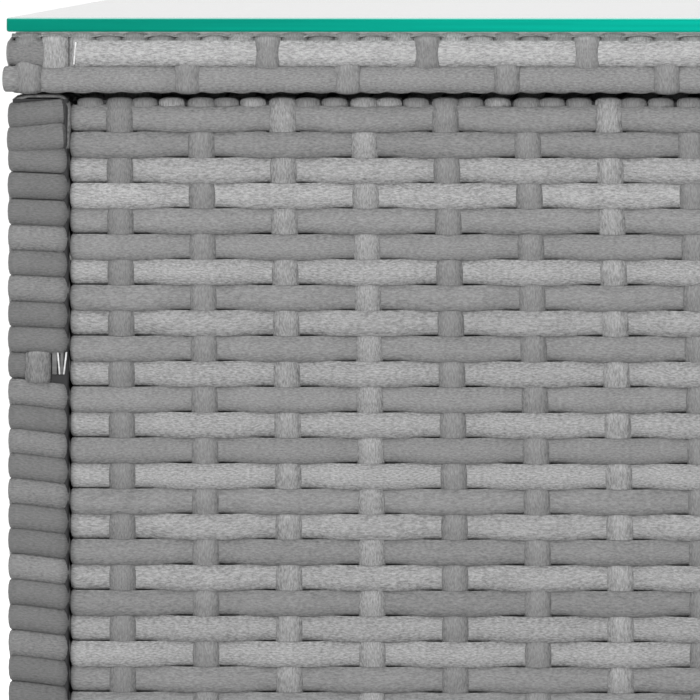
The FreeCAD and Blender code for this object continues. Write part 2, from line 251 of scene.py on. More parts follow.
def rounder_side_out(path):
    """Whether the section's rounder side, to the right of the way, faces away from the strand's middle."""
    steps = np.diff(path, axis=0)
    right = np.column_stack((steps[:, 1], -steps[:, 0]))
    from_middle = (path[:-1] + path[1:]) / 2 - path.mean(axis=0)
    return (right * from_middle[:, :2]).sum() > NEARLY_STRAIGHT


def lay_strands(name, strands, lie="upright", side="front"):
    """Sweeps the strand's section along every path and returns one mesh object of them all."""
    turn = LIES[lie]
    for strand in strands:
        if not rounder_side_out(strand.path @ np.array(turn)):
            strand.reverse()
    curve = bpy.data.curves.new(name, "CURVE")
    curve.dimensions = "3D"
    curve.twist_mode = "Z_UP"
    curve.bevel_mode = "OBJECT"
    curve.bevel_object = strand_section
    for strand in strands:
        local = strand.path @ np.array(turn)
        spline = curve.splines.new("POLY")
        spline.points.add(len(local) - 1)
        spline.points.foreach_set("co", np.column_stack((local, np.ones(len(local)))).ravel())
        spline.points.foreach_set("radius", np.full(len(local), strand.size))
    piece = bpy.data.objects.new(name, curve)
    bpy.context.collection.objects.link(piece)
    deselect_all()
    piece.select_set(True)
    bpy.context.view_layer.objects.active = piece
    bpy.ops.object.convert(target="MESH")
    mark_strands(piece.data, strands)
    upright = Matrix.Rotation(math.radians(90 * QUARTER_TURNS[side]), 4, "Z")
    piece.data.transform(upright @ turn.to_4x4())
    close_ends(piece)
    piece.data.materials.clear()
    piece.data.materials.append(wicker)
    return piece


def write_marks(mesh, places, tones, fibres):
    """Writes each point's place along and across its strand, and the strand's tone and fibre."""
    for name, kind, key, values in (
        ("strand_place", "FLOAT_VECTOR", "vector", places),
        ("strand_tone", "FLOAT", "value", tones),
        ("strand_fibre", "FLOAT", "value", fibres),
    ):
        mesh.attributes.new(name, kind, "POINT").data.foreach_set(key, values)


def mark_strands(mesh, strands):
    ring = len(SECTION_ACROSS)
    places, tones, fibres = [], [], []
    for strand in strands:
        steps = np.linalg.norm(np.diff(strand.path, axis=0), axis=1)
        place = np.empty((len(strand.path), ring, 3))
        place[:, :, 0] = np.concatenate(([0.0], np.cumsum(steps)))[:, None]
        place[:, :, 1] = SECTION_ACROSS * half_w
        place[:, :, 2] = strand.seed
        places.append(place.ravel())
        tones.append(np.repeat(strand.tone, ring))
        fibres.append(np.repeat(strand.fibre, ring))
    write_marks(mesh, *(np.concatenate(values) for values in (places, tones, fibres)))


CRISP_EDGE = math.radians(52)  # edges sharper than this stay crisp


def close_ends(piece):
    """Caps each strand's cut ends, smooths its flat sides and keeps its edges crisp."""
    bpy.ops.object.mode_set(mode="EDIT")
    bpy.ops.mesh.select_all(action="SELECT")
    bpy.ops.mesh.fill_holes(sides=len(SECTION_ACROSS))
    bpy.ops.mesh.normals_make_consistent(inside=False)
    bpy.ops.object.mode_set(mode="OBJECT")
    bpy.ops.object.shade_smooth_by_angle(angle=CRISP_EDGE)


# How much each part of the grain and the painted edge shade changes the strand's tone, and how deep the
# grain is.
LINE_PART = 0.16
CLOUD_PART = 0.3
# painted shade: how much darker the strand's colour is painted towards its edges
EDGE_PAINTED_SHADE = -0.32
EDGE_FALL = 2.2  # how close to the edges their shade stays
LINE_HEIGHT = 0.3
GRAIN_DEPTH = 0.12 * MM
GRAIN_STRENGTH = 0.55
STRAND_ROUGHNESS = (0.62, 0.44)  # where the grain is dark, and where it is pale
STRAND_GLOSS = 0.3


def strand_grain_and_edge_shade():
    """The extruded strand's grain: fine lines along it and pale fibrous flecks, with painted shade along
    its edges, as a shared node group.
    """
    group = bpy.data.node_groups.new("strand_grain_and_edge_shade", "ShaderNodeTree")
    for name, way, kind in (
        ("Place", "INPUT", "Vector"),
        ("Fibre", "INPUT", "Float"),
        ("Shade", "OUTPUT", "Float"),
        ("Height", "OUTPUT", "Float"),
    ):
        group.interface.new_socket(name, in_out=way, socket_type=f"NodeSocket{kind}")
    source = add_node(group, "NodeGroupInput")
    result = add_node(group, "NodeGroupOutput")

    def stretched_noise(along, across, detail):
        mapping = add_node(group, "ShaderNodeMapping", scale=(along, across, 1.0))
        noise = add_node(group, "ShaderNodeTexNoise", scale=1.0, detail=detail, roughness=0.6)
        group.links.new(source.outputs["Place"], mapping.inputs["Vector"])
        group.links.new(mapping.outputs["Vector"], noise.inputs["Vector"])
        return noise.outputs["Fac"]

    def combine(operation, first, second):
        node = add_node(group, "ShaderNodeMath", operation=operation)
        for socket, value in zip(node.inputs, (first, second)):
            if isinstance(value, (int, float)):
                socket.default_value = value
            else:
                group.links.new(value, socket)
        return node.outputs[0]

    def part_of(noise, amount):
        return combine("MULTIPLY", combine("SUBTRACT", noise, 0.5), amount)

    flecks = stretched_noise(720.0, 2100.0, 3.0)  # pale flecks about a millimetre long
    lines = stretched_noise(45.0, 2600.0, 2.0)  # die lines along the strand
    clouds = stretched_noise(60.0, 90.0, 2.0)  # slow changes of tone along the strand
    fleck_part = part_of(flecks, source.outputs["Fibre"])
    line_part = part_of(lines, LINE_PART)
    cloud_part = part_of(clouds, CLOUD_PART)
    parts = add_node(group, "ShaderNodeSeparateXYZ")
    group.links.new(source.outputs["Place"], parts.inputs["Vector"])
    across = combine("ABSOLUTE", combine("DIVIDE", parts.outputs["Y"], half_w), 0.0)
    # Painted shade: the colour darkens towards the strand's edges, where the valleys between strands lie in
    # shade.
    painted_edge_shade = combine("MULTIPLY", combine("POWER", across, EDGE_FALL), EDGE_PAINTED_SHADE)
    shade = combine("ADD", combine("ADD", fleck_part, line_part), combine("ADD", cloud_part, 1.0))
    shade = combine("ADD", shade, painted_edge_shade)
    group.links.new(shade, result.inputs["Shade"])
    height = combine("MULTIPLY", flecks, source.outputs["Fibre"])
    height = combine("ADD", height, combine("MULTIPLY", lines, LINE_HEIGHT))
    group.links.new(height, result.inputs["Height"])
    return group


def wicker_material():
    material, tree, shader = node_material("grey_wicker_strand", 0.5)
    grain = add_node(tree, "ShaderNodeGroup", node_tree=strand_grain_and_edge_shade())
    for attribute, socket in (("strand_place", "Place"), ("strand_fibre", "Fibre")):
        reader = add_node(tree, "ShaderNodeAttribute", attribute_name=attribute)
        output = "Vector" if socket == "Place" else "Fac"
        tree.links.new(reader.outputs[output], grain.inputs[socket])
    tone = add_node(tree, "ShaderNodeAttribute", attribute_name="strand_tone")
    shaded = add_node(tree, "ShaderNodeMath", operation="MULTIPLY")
    tree.links.new(tone.outputs["Fac"], shaded.inputs[0])
    tree.links.new(grain.outputs["Shade"], shaded.inputs[1])
    grey = add_node(tree, "ShaderNodeCombineColor")
    for channel in ("Red", "Green", "Blue"):
        tree.links.new(shaded.outputs[0], grey.inputs[channel])
    tree.links.new(grey.outputs["Color"], shader.inputs["Base Color"])
    rough = range_of(tree, grain.outputs["Shade"], *STRAND_ROUGHNESS)
    tree.links.new(rough, shader.inputs["Roughness"])
    bump = small_bump(tree, grain.outputs["Height"], GRAIN_STRENGTH, GRAIN_DEPTH)
    tree.links.new(bump, shader.inputs["Normal"])
    shader.inputs["Specular IOR Level"].default_value = STRAND_GLOSS
    return material


chance = random.Random(41)
DARK_TONE = 0.196
LIGHT_TONE = 0.268
TONE_CHANCE = (0.93, 1.07)
SMOOTH_FIBRE = 1.4
COARSE_FIBRE = 1.85
wicker = wicker_material()


def strand_look(light):
    """Tone and fibre of a light, coarse strand or a dark, smoother one, with a little chance in it."""
    tone = (LIGHT_TONE if light else DARK_TONE) * chance.uniform(*TONE_CHANCE)
    return tone, COARSE_FIBRE if light else SMOOTH_FIBRE


FLAT_SHARE = 0.8  # of each quarter of the way round a tube, the rest is its corner


def round_tube(half_a, half_b, corner, per_side, per_corner=3):
    """Points once round a tube's rounded square: a, b, the outward way's a and b, and the share done.

    They run down the side at -a, along the side at -b, up the side at +a and back along the side at +b.
    """
    points = []
    sides = (((-1, 1), (-1, -1)), ((-1, -1), (1, -1)), ((1, -1), (1, 1)), ((1, 1), (-1, 1)))
    for number, (start, end) in enumerate(sides):
        normal = (start[0] + end[0]) / 2, (start[1] + end[1]) / 2
        flat_a, flat_b = half_a - corner, half_b - corner
        for step in range(per_side[number]):
            share = step / max(per_side[number] - 1, 1)
            a = (start[0] + (end[0] - start[0]) * share) * flat_a + normal[0] * corner
            b = (start[1] + (end[1] - start[1]) * share) * flat_b + normal[1] * corner
            points.append((a, b, *normal, (number + share * FLAT_SHARE) / 4))
        heading = math.atan2(normal[1], normal[0])
        for step in range(1, per_corner + 1):
            angle = heading + math.radians(90) * step / (per_corner + 1)
            out = math.cos(angle), math.sin(angle)
            share = FLAT_SHARE + (1 - FLAT_SHARE) * step / (per_corner + 1)
            at = end[0] * flat_a + out[0] * corner, end[1] * flat_b + out[1] * corner
            points.append((*at, *out, (number + share) / 4))
    return points


POST_PITCH = 9.05 * MM
FIRST_POST_TURN = 4.1 * MM  # from the winding's top to the middle of the first turn
POST_CORNER = 3.1 * MM
POST_SIDE_POINTS = (4, 9, 3, 3)  # outer side, front or rear, inner side, back
LIGHT_POST_TURNS = {5, 7, 11, 13, 15, 18, 21, 24, 27, 28, 32}
POST_SHADE = 0.68  # the legs' strand comes from a darker batch
RISING_TURNS = 2  # the first ones climb towards the inner side, under the strand over the leg's end
LOCK_TURN = 10  # the turn at which one strand ends and the next is locked in
SETTLING_TURNS = 6  # below the lock the turns sit a little low until they close up again
SETTLING_DROP = 1.2 * MM
RISING_SLOPE = -1.8 * MM  # how far a turn drops across the front: the first ones
UPPER_SLOPE = 0.8 * MM  # those above the lock
LOWER_SLOPE = 2.2 * MM  # and those below it
UPPER_SHIFTS = (1.0 * MM, 0.5 * MM, -0.7 * MM, -0.4 * MM)  # how much lower the first four turns sit
SECOND_TURN_LIFT = 0.6 * MM  # it rides up on the third
LOCK_HOLE_START = 3.4 * MM  # from here to the inner side the lock's turn lies deeper
LOCK_HOLE_DEPTH = 2.0 * MM
UNDER_LOCK = 0.4 * MM
INNER_TUCK = 1.4 * MM  # the turns are drawn tight on the side towards the panel
RISING_TUCK = 2.6 * MM  # most of all the first ones
POST_WOBBLE = 0.2  # in millimetres, as is the next
POST_LIFT = 0.1
POST_FIBRE = 0.8  # the legs' strand is a little smoother too


def turn_depth(turn):
    """How far a turn's middle lies below the winding's top, halfway across the front."""
    depth = FIRST_POST_TURN + turn * POST_PITCH
    if turn < len(UPPER_SHIFTS):
        return depth + UPPER_SHIFTS[turn]
    settled = (turn - LOCK_TURN - 1) / SETTLING_TURNS
    return depth + (SETTLING_DROP * (1 - settled) if 0 <= settled < 1 else 0.0)


def turn_slope(turn):
    """How far a turn drops from one end of the front to the other."""
    if turn < RISING_TURNS:
        return RISING_SLOPE
    return UPPER_SLOPE if turn <= LOCK_TURN else LOWER_SLOPE


def post_depth(turn, share):
    """How far down the strand lies when that share of a turn has been wound."""
    start = turn_depth(turn) - turn_slope(turn) / 2
    across = start + turn_slope(turn)
    stop = turn_depth(turn + 1) - turn_slope(turn + 1) / 2
    if share < 0.25:
        return start
    if share < 0.5:
        return start + (across - start) * (share - 0.25) / 0.25
    return across + (stop - across) * (share - 0.5) / 0.5


def stand_off(turn, a, push_a, push_b, share, lift):
    """How far a turn stands off its usual place at a point of its way."""
    tuck = (RISING_TUCK if turn < RISING_TURNS else INNER_TUCK) * min(max(push_a, 0.0) * 2, 1.0)
    if turn == LOCK_TURN and push_b < -0.3:  # on the front or rear face
        return -LOCK_HOLE_DEPTH if a > LOCK_HOLE_START else UNDER_LOCK * push_b
    if turn == 1:
        lift = SECOND_TURN_LIFT * math.sin(math.pi * share)
    return lift - tuck


def leg_at(side, end):
    """A post's lowest and highest corners, and which way is outwards along x and along y."""
    low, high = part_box(f"{side}_{end}_post")
    return low, high, 1 if side == "right" else -1, 1 if end == "rear" else -1


def wind_post(side, end):
    low, high, out_x, out_y = leg_at(side, end)
    wrap_low, wrap_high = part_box(f"{side}_{end}_post_wrap")
    middle = (low + high) / 2
    half = (high.x - low.x) / 2 + LAYER
    section = round_tube(half, half, POST_CORNER, POST_SIDE_POINTS)
    turns = int((wrap_high.z - wrap_low.z - STRAND_WIDTH) / POST_PITCH) + 1
    wobble = [chance.uniform(-POST_WOBBLE, POST_WOBBLE) * MM for _ in range(turns + 1)]
    lift = [chance.uniform(-POST_LIFT, POST_LIFT) * MM for _ in range(turns)]
    path, tones, fibres = [], [], []
    for turn in range(turns):
        tone, fibre = strand_look(turn in LIGHT_POST_TURNS)
        for a, b, push_a, push_b, share in section:
            sway = wobble[turn] * (1 - share) + wobble[turn + 1] * share
            out = stand_off(turn, a, push_a, push_b, share, lift[turn])
            depth = max(post_depth(turn, share) + sway, FIRST_POST_TURN)
            x = middle.x - out_x * (a + out * push_a)
            y = middle.y - out_y * (b + out * push_b)
            path.append((x, y, max(wrap_high.z - depth, wrap_low.z + STRAND_WIDTH / 2)))
            tones.append(tone * POST_SHADE)
            fibres.append(fibre * POST_FIBRE)
    return lay_strands(f"{side}_{end}_post_winding", [Strand(path, tones, fibres)])


def make_wicker(piece, *nodes):
    """A wicker piece rides with the table and stands for the plain skins named."""
    if nodes:
        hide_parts(*nodes)
    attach(piece, "table")


for side, end in LEGS:
    make_wicker(wind_post(side, end), f"{side}_{end}_post_wrap")

# ---- strand over each leg's upper end ----------------------------------------------------------------
# Two short strands laid side by side over the plugged end of each post and folded down both sides, over the
# first two turns of the winding and under the third, which holds them.

CAP_CORNER = 4.4 * MM
CAP_REACH = 17.0 * MM  # down the inner side
CAP_HELD = 3.0 * MM  # and the last bit under the third turn
CAP_PRESSED = 0.3 * MM
CAP_TIGHT = 0.8 * MM
CAP_PLACES = (4.7 * MM, 14.2 * MM)  # each one's middle from the leg's outer face
# The outer fold, in millimetres from the leg's middle towards the inner side, and down from the top.
CAP_OUTER_FOLD = ((-4.4, 0.0), (-7.8, 1.1), (-8.7, 3.6), (-8.6, 9.0))
BEND_STEPS = 6  # parts of a quarter bend


def folded_over(half, top):
    """The way over a post's end, as (towards the inner side, z), from the inner side to the outer."""
    centre = half - CAP_CORNER
    way = [(half - 2 * LAYER, top - CAP_REACH - CAP_HELD), (half - CAP_PRESSED, top - CAP_REACH)]
    for step in range(BEND_STEPS + 1):
        angle = math.radians(90) * step / BEND_STEPS
        rise = CAP_CORNER * (math.sin(angle) - 1)
        way.append((centre + CAP_CORNER * math.cos(angle), top + rise))
    return way + [(inward * MM, top - down * MM) for inward, down in CAP_OUTER_FOLD]


caps = []
for side, end in LEGS:
    low, high, out_x, out_y = leg_at(side, end)
    face = high.y if end == "rear" else low.y
    middle = (low.x + high.x) / 2
    way = folded_over((high.x - low.x) / 2 + LAYER - CAP_TIGHT, high.z + LAYER)
    for place in CAP_PLACES:
        tone, fibre = strand_look(True)
        points = [(middle - out_x * inward, face - out_y * place, z) for inward, z in way]
        caps.append(Strand(points, tone, fibre))
make_wicker(lay_strands("post_cap_folds", caps, "deep"), "post_cap_strands")

# ---- lock in each leg's winding ----------------------------------------------------------------------
# Where a new strand starts, its end and the old one's are folded in beside each other and held by a short
# upright strand that passes over one turn and under its neighbours. The cut edges show as pale lines.

LOCK_PIN_PLACE = 0.9 * MM  # from the leg's middle towards its outer side
LOCK_PIN_SHADE = 0.9
# The short strand's rise, and its height above the tube's face, in millimetres.
LOCK_PIN_WAY = (
    (8.0, -0.9), (5.4, -0.8), (4.7, -0.2), (4.1, 0.8), (3.2, 1.3), (0.0, 1.4),
    (-4.2, 1.3), (-5.0, 0.8), (-5.6, -0.2), (-6.3, -0.8), (-8.5, -0.9),
)
# Folded-in ends: place from the leg's middle and width in millimetres, tone, and lean in degrees.
CUT_ENDS = ((5.0, 1.7, 0.13, 0.0), (6.5, 0.6, 0.6, -5.0), (7.6, 1.1, 0.12, 1.0), (8.75, 0.6, 0.6, 7.0))
CUT_SIZE = (1.1 * MM, 8.0 * MM)
CUT_RAISE = 0.9 * MM
CUT_ROUNDING = 0.2 * MM


def mark_cut_end(mesh, tone):
    """A cut end's grain runs upright."""
    count = len(mesh.vertices)
    places = np.empty(count * 3)
    mesh.vertices.foreach_get("co", places)
    places = places.reshape(-1, 3)[:, ::-1] * (1, 0, 1)
    write_marks(mesh, places.ravel(), np.full(count, tone), np.full(count, SMOOTH_FIBRE))


def folded_end(at, width, tone, lean):
    """One folded-in end of a strand, seen from its edge: a thin upright sliver."""
    deselect_all()
    bpy.ops.mesh.primitive_cube_add(size=1.0, location=at)
    sliver = bpy.context.object
    sliver.scale = (width, *CUT_SIZE)
    sliver.rotation_euler.y = math.radians(lean)
    bpy.ops.object.transform_apply(location=True, rotation=True, scale=True)
    bpy.ops.object.mode_set(mode="EDIT")
    bpy.ops.mesh.select_all(action="SELECT")
    bpy.ops.mesh.bevel(offset=CUT_ROUNDING, segments=2)
    bpy.ops.object.mode_set(mode="OBJECT")
    mark_cut_end(sliver.data, tone)
    sliver.data.materials.append(wicker)
    return sliver


def joined(name, *pieces):
    """Makes one piece of several."""
    deselect_all()
    for piece in pieces:
        piece.select_set(True)
    bpy.context.view_layer.objects.active = pieces[0]
    bpy.ops.object.join()
    pieces[0].name = name
    return pieces[0]


def lock_post(side, end):
    low, high, out_x, out_y = leg_at(side, end)
    middle = (low.x + high.x) / 2
    face = high.y if end == "rear" else low.y
    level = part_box(f"{side}_{end}_post_wrap")[1].z - turn_depth(LOCK_TURN)
    pin_x = middle + out_x * LOCK_PIN_PLACE
    way = [(pin_x, face + out_y * out * MM, level + rise * MM) for rise, out in LOCK_PIN_WAY]
    if end == "rear":
        way.reverse()
    pin = Strand(way, DARK_TONE * LOCK_PIN_SHADE, COARSE_FIBRE)
    pieces = [lay_strands(f"{side}_{end}_lock_strand", [pin], "across")]
    for place, width, tone, lean in CUT_ENDS:
        at = (middle - out_x * place * MM, face + out_y * LAYER, level + CUT_RAISE)
        pieces.append(folded_end(at, width * MM, tone, -out_x * lean))
    return joined(pieces[0].name, *pieces)


for side, end in LEGS:
    make_wicker(lock_post(side, end))

# ---- woven panels of the four sides ------------------------------------------------------------------
# Upright strands, 28.9 mm apart, run over both rails of a frame, and level strands are woven through them,
# one over, one under, touching each other. On the front and rear frames they close round the uprights.

WARP_PITCH = 28.88 * MM
WARP_COUNT = 19
WEFT_PITCH = 9.03 * MM
RAISED_ROWS = 2.2 * MM  # the rear and right panels' rows lie higher
WEFT_COUNT = 33
TOP_WEFT = 324.2 * MM
WARP_LEAN = 5.0 * MM  # the upright strands are pulled sideways as the rows are beaten down
LEAN_SPAN = 0.4  # the height of half a wave of that lean, in metres
HALF_TABLE = 0.3
# Each row sits that much lower where it passes over and higher where it dives.
BEAT = {"front": 0.36 * MM, "left": 0.12 * MM, "rear": 0.12 * MM, "right": 0.12 * MM}
ROW_CHANCE = 0.25  # and by chance up to this part of it up or down
ROW_SIZE = {"front": 1.012, "left": 1.05, "rear": 1.05, "right": 1.05}
ROW_SHADES = {4: 1.18, 7: 1.12, 8: 1.1, 12: 1.14, 18: 0.93, 20: 0.93}  # rows lighter or darker than most
STAKE_SIZE = 1.05  # the upright strands are pressed a little wider
STAKE_SHADE = 0.93
ROW_REACH = 0.4 * MM  # how far the rows reach past the panel's nominal edge, towards the legs
LIGHT_WEFTS = {3, 4, 7, 9, 11, 13, 15, 17, 19, 21, 22, 25, 26, 28, 31, 33}
LIGHT_WARPS = {2, 3, 6, 9, 11, 12, 15, 17}
SIDE_SHIFT = 4  # each side's order of light and dark is that many strands on from the last side's
WEFT_STEPS = 6  # points of a row for each upright strand
WARP_STEPS = 4  # points of an upright strand for each row
WEFT_CORNER = 2.8 * MM
ROW_STOP = 0.5 * MM  # the wave ends that much before the row's bend
TURNING_BACK = (0.4, 0.8)  # shares of the way back beside the upright
# Behind the upright: in from the panel's edge, and out from the tube's rear face, in millimetres.
BEHIND_UPRIGHT = ((0.7, 0.5), (2.6, 0.0), (16.0, 0.0))
WARP_CORNER = 2.2 * MM
STAKE_STEP = 0.5 * MM  # the least way between two points there
STAKE_CLEAR = 0.3 * MM  # from the first or last row's edge
RAIL_DEPTH = 18.0 * MM
STAKE_TAIL = RAIL_DEPTH * 0.9  # how far over a rail it goes
ROOF_TUCK = 0.7 * MM  # the strands are pulled tight over the top rail
FLATNESS = 0.55  # 1 for a plain wave, less for one with flatter tops


def flat_wave(turns):
    """A wave between -1 and 1 with flat tops, one half wave for each whole number."""
    wave = math.cos(math.pi * turns)
    return math.copysign(abs(wave) ** FLATNESS, wave)


def eased(value):
    """0 to 1 with a soft start and stop."""
    value = min(max(value, 0.0), 1.0)
    return value * value * (3 - 2 * value)


def lean_at(u, z):
    """How far the upright strands are pulled sideways at a place on a panel."""
    across = math.sin(math.pi * (u + HALF_TABLE) / (2 * HALF_TABLE))
    down = math.sin(math.pi * max(TOP_WEFT - z, 0.0) / LEAN_SPAN)
    return WARP_LEAN * across * down


def warp_home(number):
    return (number - (WARP_COUNT - 1) / 2) * WARP_PITCH


def quarter_bend(radius, steps=4):
    """Offsets of a quarter circle that starts along the first axis and ends along the second."""
    angles = [math.radians(90) * step / steps for step in range(steps + 1)]
    return [(radius * math.sin(angle), radius * (1 - math.cos(angle))) for angle in angles]


def weave_row(row, top_row, beat, edge, hook):
    """One level strand as (u, n, z): across the panel, out from its tubes, and up."""
    level = top_row - (row - 1) * WEFT_PITCH + chance.uniform(-ROW_CHANCE, ROW_CHANCE) * beat
    over_even = -1 if row % 2 else 1
    path = []
    for step in range(-1, WARP_COUNT * WEFT_STEPS + 1):
        phase = (step - WEFT_STEPS / 2) / WEFT_STEPS
        u = warp_home(0) + phase * WARP_PITCH
        u += lean_at(u, level)
        if abs(u) < edge - WEFT_CORNER - ROW_STOP:
            wave = over_even * flat_wave(phase)
            path.append((u, 2 * LAYER + LAYER * wave, level - beat * wave))
    for sign in (-1, 1):
        _, depth, z = path[0] if sign < 0 else path[-1]
        turn = []
        for out, sink in quarter_bend(WEFT_CORNER):
            turn.append((sign * (edge - WEFT_CORNER + out), depth - sink, z))
        for share in TURNING_BACK:
            turn.append((sign * edge, depth - WEFT_CORNER - share * hook, level))
        if hook >= RAIL_DEPTH:
            back = depth - hook - 2 * LAYER
            for inset, out in BEHIND_UPRIGHT:
                turn.append((sign * (edge - inset * MM), back + out * MM, level))
        path = turn[::-1] + path if sign < 0 else path + turn
    return path


def weave_stake(number, top_row, rail_roof, rail_floor):
    """One upright strand as (u, n, z): over the top rail, down the panel and under the bottom rail."""
    home = warp_home(number)
    over_odd = -1 if number % 2 else 1
    way = [(-STAKE_TAIL, rail_roof)]
    way += [(LAYER - WARP_CORNER + out, rail_roof - drop) for out, drop in quarter_bend(WARP_CORNER)]
    bend_stop = rail_roof - WARP_CORNER - STAKE_STEP
    bend_start = rail_floor + WARP_CORNER + STAKE_STEP
    above = top_row + WEFT_PITCH * 0.5 + STAKE_CLEAR
    below = above - WEFT_COUNT * WEFT_PITCH - 2 * STAKE_CLEAR
    if above < bend_stop:
        way.append((LAYER, above))
    early = 1 if top_row + WEFT_PITCH / WARP_STEPS < bend_stop else 0
    for step in range(-early, (WEFT_COUNT - 1) * WARP_STEPS + 2):
        wave = over_odd * flat_wave(step / WARP_STEPS)
        wave -= 1 - abs(wave)  # it dives as soon as it has passed over a row
        way.append((2 * LAYER + LAYER * wave, top_row - step / WARP_STEPS * WEFT_PITCH))
    if below > bend_start:
        way.append((LAYER, below))
    rising = reversed(quarter_bend(WARP_CORNER))
    way += [(LAYER - WARP_CORNER + out, rail_floor + rise) for out, rise in rising]
    way.append((-STAKE_TAIL, rail_floor))
    return [(home + lean_at(home, z), n, z) for n, z in way]


def out_of(plane, path):
    """Turns (u, n, z) into the place in front of a frame whose tubes end at that plane."""
    return [(u, -(plane + n), z) for u, n, z in path]


def panel_sizes(side):
    """Plane of the tubes' outer faces, half width, and the rails' lowest and highest level."""
    rail_low, rail_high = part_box(f"{side}_top_rail")
    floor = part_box(f"{side}_bottom_rail")[0].z
    axis, across = (1, 0) if side in ENDS else (0, 1)
    plane = max(abs(rail_low[axis]), abs(rail_high[axis]))
    return plane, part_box(f"{side}_panel_weave")[1][across], floor, rail_high.z


def first_row(side):
    """The level of a panel's uppermost row."""
    return TOP_WEFT + (RAISED_ROWS if side in ("rear", "right") else 0.0)


for number, side in enumerate((*ENDS, *SIDES)):
    plane, half_width, floor, roof = panel_sizes(side)
    shift = SIDE_SHIFT * number
    hook = RAIL_DEPTH if side in ENDS else RAIL_DEPTH / 2
    top_row = first_row(side)
    rows, stakes = [], []
    for row in range(1, WEFT_COUNT + 1):
        path = out_of(plane, weave_row(row, top_row, BEAT[side], half_width + ROW_REACH, hook))
        place = (row + shift) % (WEFT_COUNT + 1)
        tone, fibre = strand_look(place in LIGHT_WEFTS)
        rows.append(Strand(path, tone * ROW_SHADES.get(place, 1.0), fibre, ROW_SIZE[side]))
    for stake in range(WARP_COUNT):
        path = out_of(plane, weave_stake(stake, top_row, roof + LAYER - ROOF_TUCK, floor - LAYER))
        tone, fibre = strand_look((stake + shift) % WARP_COUNT in LIGHT_WARPS)
        stakes.append(Strand(path, tone * STAKE_SHADE, fibre, STAKE_SIZE))
    panel = joined(
        f"{side}_woven_panel",
        lay_strands(f"{side}_rows", rows, "upright", side),
        lay_strands(f"{side}_stakes", stakes, "across", side),
    )
    skins = [f"{side}_panel_weave"] + ([f"{side}_upright_wraps"] if side in ENDS else [])
    make_wicker(panel, *skins)

# ---- strands wound round the rails -------------------------------------------------------------------
# Between the panel's upright strands one strand is wound twice round each top and bottom rail and then
# passes behind to the next gap, so that the tube is covered. It shows above the first row and inside.

RAIL_CORNER = 2.2 * MM
RAIL_SIDE_POINTS = (3, 2, 9, 2)
TURNS_PER_GAP = 2
PASSING_SHARE = 0.25  # of a turn, in which the strand passes along to its next place
RAIL_SLANT = 0.9 * MM
RAIL_SHADE = 0.93
LIGHT_RAIL_SHARE = 0.45
RAIL_TUCK = 1.3 * MM  # how far the turns are pressed in behind the woven rows
RAIL_EASE = 1.2 * MM


def wind_rail(side, plane, half_width, rail, last_edge, first_edge):
    low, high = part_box(f"{side}_{rail}_rail")
    depth = high.z - low.z
    half = depth / 2 + LAYER
    section = round_tube(half, half, RAIL_CORNER, RAIL_SIDE_POINTS, 2)
    homes = []
    for gap in range(-1, WARP_COUNT):
        for place in range(1, TURNS_PER_GAP + 1):
            homes.append(warp_home(gap) + WARP_PITCH * place / (TURNS_PER_GAP + 1))
    homes = [home for home in homes if abs(home) < half_width - STRAND_WIDTH / 2]
    path, tones, fibres = [], [], []
    for turn, home in enumerate(homes):
        before = homes[max(turn - 1, 0)]
        tone, fibre = strand_look(chance.random() < LIGHT_RAIL_SHARE)
        for a, b, push_a, push_b, share in section:
            arrived = min(share / PASSING_SHARE, 1.0)
            u = before + (home - before) * arrived - RAIL_SLANT * b / half
            z = (low.z + high.z) / 2 + b
            hidden = eased((first_edge - z) / RAIL_EASE) * eased((z - last_edge) / RAIL_EASE)
            out = a - RAIL_TUCK * hidden * max(push_a, 0.0)
            path.append((u, -(plane - depth / 2 + out), z - ROOF_TUCK * max(push_b, 0.0)))
            tones.append(tone * RAIL_SHADE)
            fibres.append(fibre)
    return Strand(path, tones, fibres)


for side in (*ENDS, *SIDES):
    plane, half_width, _, _ = panel_sizes(side)
    first_edge = first_row(side) + WEFT_PITCH / 2
    last_edge = first_edge - WEFT_COUNT * WEFT_PITCH
    turns = [wind_rail(side, plane, half_width, rail, last_edge, first_edge) for rail in ("top", "bottom")]
    make_wicker(lay_strands(f"{side}_rail_windings", turns, "across", side), f"{side}_rail_wraps")

# ---- rim of the top ----------------------------------------------------------------------------------
# One strand is wound round each tube of the top frame. Two level strands run round the outside over five
# turns and under one, and two more lie along each tube's upper face, over one turn and under the next.

RIM_PITCH = 9.42 * MM
RIM_TURNS = 63
TURN_STEPS = 4  # points for each turn on the strands that cross them
FIRST_TURN = -292.1 * MM
RIM_CORNER = 2.2 * MM
RIM_SIDE_POINTS = (3, 3, 13, 11)
RIM_PASSING_SHARE = 0.45  # of a turn, in which the strand passes along to its next place
LIGHT_RIM_SHARE = 0.65
UPPER_ROW = 347.4 * MM
LOWER_ROW = 338.3 * MM
ROW_DIVIDE = (UPPER_ROW + LOWER_ROW) / 2
CROSSING_EASE = 1.4 * MM  # the way in which a turn comes out over a level strand
CORNER_HASTE = 1.4  # how early in the tube's corner it stands out fully
ROW_CLEAR = 0.35 * MM  # it passes that much beyond the strand's edge
CLEAR_SPAN = (6.0 * MM, 3.0 * MM)  # from this far inside the tube's outer face, over this width
RIM_TUCK = 0.9 * MM  # all turns are drawn tight under the tube
TOP_STRANDS = {"outer": 4.6 * MM, "inner": -4.6 * MM}  # from the tube's middle line
TOP_LAYER = 1.0 * MM  # the strands there are pressed flat by the glass plate
TOP_EASE = 1.6 * MM
TOP_END_EASE = 1.3 * MM
TOP_OVERHANG = 0.2 * MM
TOP_END_GAP = 0.3 * MM  # from the last crossing to the strand's end


def turn_home(turn):
    return FIRST_TURN + turn * RIM_PITCH


def shows_over(turn, row):
    """Whether a turn of the winding passes in front of the upper or the lower level strand."""
    if row == "upper":
        return turn == 1 or (turn >= 9 and (turn - 9) % 6 == 0)
    return turn % 6 == 0


